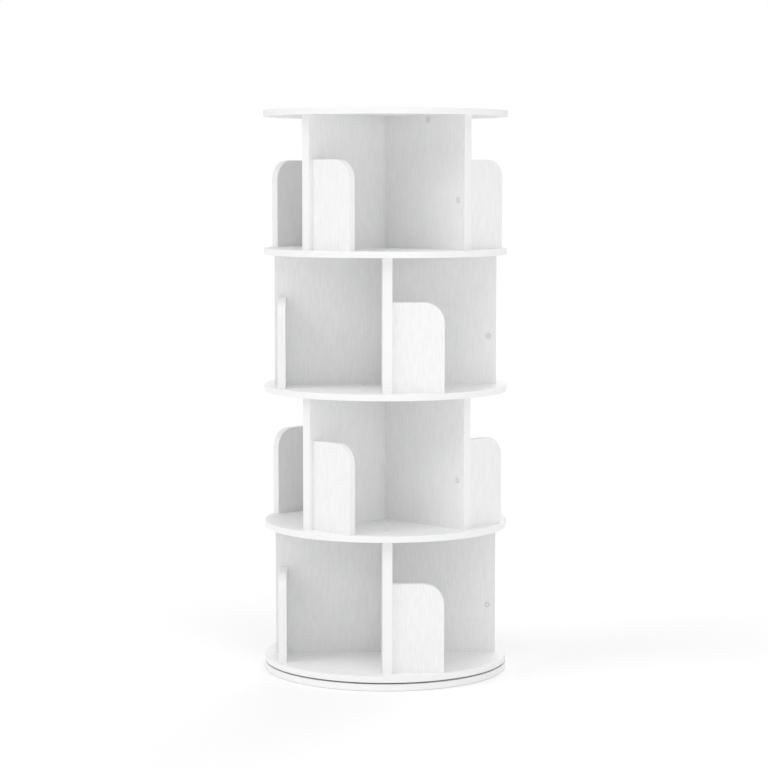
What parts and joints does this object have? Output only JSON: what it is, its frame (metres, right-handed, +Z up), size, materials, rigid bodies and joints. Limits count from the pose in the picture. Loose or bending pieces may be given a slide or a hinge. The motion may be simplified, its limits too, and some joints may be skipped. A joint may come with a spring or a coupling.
{
  "type": "revolving bookcase",
  "caption": "Tall round bookcase of stacked open tiers with rounded book stops, turning on a ball swivel over a fixed round base.",
  "frame": {"origin": "on the floor, under the axis that the tower turns about", "axes": "+Z up along the axis of the swivel; at rest an arm of the lowest tier points along +X"},
  "size_m": [0.4599, 0.46, 1.06],
  "materials": {
    "melamine_board": "white melamine on particle board, with a fine embossed wood grain",
    "edge_band": "plain white edge band, satin",
    "cover_cap": "off-white moulded plastic, satin",
    "zinc_plated_steel": "bright zinc plate on pressed steel",
    "screw_steel": "zinc plated screw steel",
    "cam_alloy": "die-cast, dull",
    "ball_steel": "polished",
    "cage_plastic": "black moulded plastic",
    "beech_dowel": "plain beech",
    "floor_pad": "dense light grey foam rubber"
  },
  "bodies": {
    "base": {"base_disc": "melamine_board", "base_edge_band": "edge_band", "floor_pads": "floor_pad", "swivel_lower_plate": "zinc_plated_steel", "lower_plate_screws": "screw_steel", "pivot_rivet": "zinc_plated_steel"},
    "ball_set": {"ball_cage": "cage_plastic", "bearing_balls": "ball_steel"},
    "tower": {"book_stop_1_1": "melamine_board", "book_stop_1_2": "melamine_board", "book_stop_1_3": "melamine_board", "book_stop_1_4": "melamine_board", "book_stop_2_1": "melamine_board", "book_stop_2_2": "melamine_board", "book_stop_2_3": "melamine_board", "book_stop_2_4": "melamine_board", "book_stop_3_1": "melamine_board", "book_stop_3_2": "melamine_board", "book_stop_3_3": "melamine_board", "book_stop_3_4": "melamine_board", "book_stop_4_1": "melamine_board", "book_stop_4_2": "melamine_board", "book_stop_4_3": "melamine_board", "book_stop_4_4": "melamine_board", "cam_bolts": "screw_steel", "cam_caps": "cover_cap", "cam_locks": "cam_alloy", "disc_edge_bands": "edge_band", "divider_edge_bands": "edge_band", "divider_foot_screws": "screw_steel", "divider_head_screws": "screw_steel", "divider_lower_1": "melamine_board", "divider_lower_2": "melamine_board", "divider_lower_3": "melamine_board", "divider_lower_4": "melamine_board", "divider_upper_1": "melamine_board", "divider_upper_2": "melamine_board", "divider_upper_3": "melamine_board", "divider_upper_4": "melamine_board", "head_screw_caps": "cover_cap", "shelf_disc_1": "melamine_board", "shelf_disc_2": "melamine_board", "shelf_disc_3": "melamine_board", "shelf_disc_4": "melamine_board", "stop_dowels": "beech_dowel", "stop_edge_bands": "edge_band", "stop_foot_screws": "screw_steel", "stop_screw_caps": "cover_cap", "stop_side_screws": "screw_steel", "swivel_upper_plate": "zinc_plated_steel", "top_disc": "melamine_board", "top_disc_dowels": "beech_dowel", "upper_plate_screws": "screw_steel"}
  },
  "joints": [
    {"name": "revolve", "type": "hinge", "parent": "base", "child": "tower", "pos_m": [0, 0, 0.0115], "axis": [0, 0, 1], "continuous": true},
    {"name": "cage_roll", "type": "hinge", "parent": "base", "child": "ball_set", "pos_m": [0, 0, 0.0115], "axis": [0, 0, 1], "continuous": true}
  ],
  "couplings": [
    {"joint": "cage_roll", "follows": "revolve", "ratio": 0.5}
  ]
}
